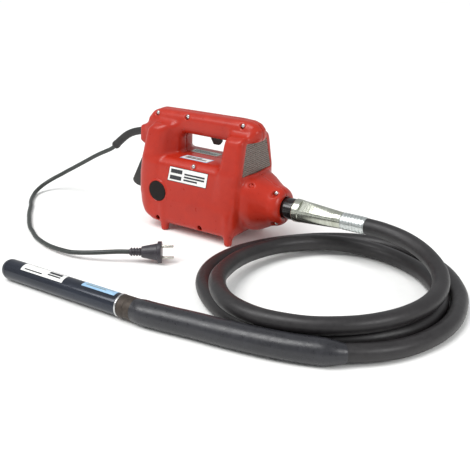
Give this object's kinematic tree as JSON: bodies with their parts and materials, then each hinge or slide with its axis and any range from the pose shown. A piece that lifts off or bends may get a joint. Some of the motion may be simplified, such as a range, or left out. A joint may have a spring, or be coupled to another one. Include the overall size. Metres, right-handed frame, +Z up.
{
  "type": "concrete vibrator",
  "caption": "Portable electric concrete vibrator: orange motor unit with a top grip, rubber flexible shaft laid in loops and a steel needle.",
  "frame": {"origin": "on the floor under the middle of the box around the motor unit and the needle", "axes": "+Z up; +X the way the drive leaves the motor; -Y the side that the screws go in from and where the needle lies"},
  "size_m": [0.8942, 0.4495, 0.205],
  "materials": {
    "housing_plastic": "moulded, glossy, orange-red",
    "grille": "perforated grey",
    "black_plastic": "satin",
    "screw_steel": "zinc plated",
    "bearing_steel": "ground",
    "lamination_steel": "stacked sheet",
    "copper": "enamelled wire and bars",
    "carbon": "pressed carbon",
    "fan_plastic": "moulded",
    "capacitor_film": "dipped",
    "spring_steel": "drawn wire",
    "rubber_cable": "smooth",
    "plug_plastic": "moulded",
    "pin_brass": "nickel plated",
    "collar_black": "shiny black",
    "bright_steel": "polished, zinc plated",
    "hose_rubber": "black, semi-gloss",
    "sleeve_rubber": "black, matt",
    "ferrule_brown": "browned steel",
    "needle_steel": "dark blue-black, glossy",
    "label_white": "printed plate, no lettering",
    "label_blue": "printed sticker, no lettering",
    "plate_silver": "printed aluminium foil"
  },
  "bodies": {
    "frame": {"housing_near": "housing_plastic", "housing_far": "housing_plastic", "front_grille": "grille", "housing_screws": "screw_steel", "rear_bearing": "bearing_steel", "front_bearing": "bearing_steel", "stator_core": "lamination_steel", "field_coils": "copper", "fan_baffle": "black_plastic", "brush_holders": "black_plastic", "carbon_brushes": "carbon", "brush_springs": "spring_steel", "brush_caps": "black_plastic", "switch_body": "black_plastic", "paddle_pin": "bearing_steel", "capacitor": "capacitor_film", "cable_clamp": "black_plastic", "clamp_screws": "screw_steel", "strain_relief": "rubber_cable", "mains_cable": "rubber_cable", "plug_sleeve": "plug_plastic", "plug_body": "plug_plastic", "plug_pins": "pin_brass", "strap_lug": "black_plastic", "lug_screw": "screw_steel", "nose_socket": "bearing_steel", "coupling_collar": "collar_black", "shaft_connector": "bright_steel", "crimp_ferrule": "bright_steel", "hose": "hose_rubber", "hose_sleeve": "sleeve_rubber", "needle_ferrule": "ferrule_brown", "needle_ring": "bright_steel", "needle_tube": "needle_steel", "needle_tip": "needle_steel", "needle_bearings": "bearing_steel", "needle_seal": "rubber_cable", "side_label": "label_white", "shoulder_label": "label_blue", "top_plate": "plate_silver", "needle_labels": "label_white"},
    "armature": {"armature_shaft": "bearing_steel", "armature_core": "lamination_steel", "armature_windings": "copper", "commutator": "copper", "cooling_fan": "fan_plastic", "drive_socket": "bearing_steel", "drive_end": "bearing_steel"},
    "needle_rotor": {"needle_weight": "lamination_steel"},
    "paddle": {"switch_paddle": "black_plastic"},
    "plunger": {"switch_plunger": "fan_plastic"}
  },
  "joints": [
    {"name": "armature_spin", "type": "hinge", "parent": "frame", "child": "armature", "pos_m": [-0.061, 0.1525, 0.07], "axis": [1, 0, 0], "continuous": true},
    {"name": "needle_spin", "type": "hinge", "parent": "frame", "child": "needle_rotor", "pos_m": [0.064, -0.192, 0.018], "axis": [-1, 0, -0.0077], "continuous": true},
    {"name": "paddle_press", "type": "hinge", "parent": "frame", "child": "paddle", "pos_m": [-0.18, 0.1525, 0.124], "axis": [0, -1, 0], "range_deg": [0, 8], "stiffness_Nm_per_rad": 1, "springref_deg": -8.59},
    {"name": "plunger_slide", "type": "slide", "parent": "frame", "child": "plunger", "axis": [1, 0, 0], "range_m": [0, 0.0025]}
  ],
  "couplings": [
    {"joint": "needle_spin", "follows": "armature_spin", "ratio": 1},
    {"joint": "plunger_slide", "follows": "paddle_press", "m_per_rad": 0.017}
  ]
}
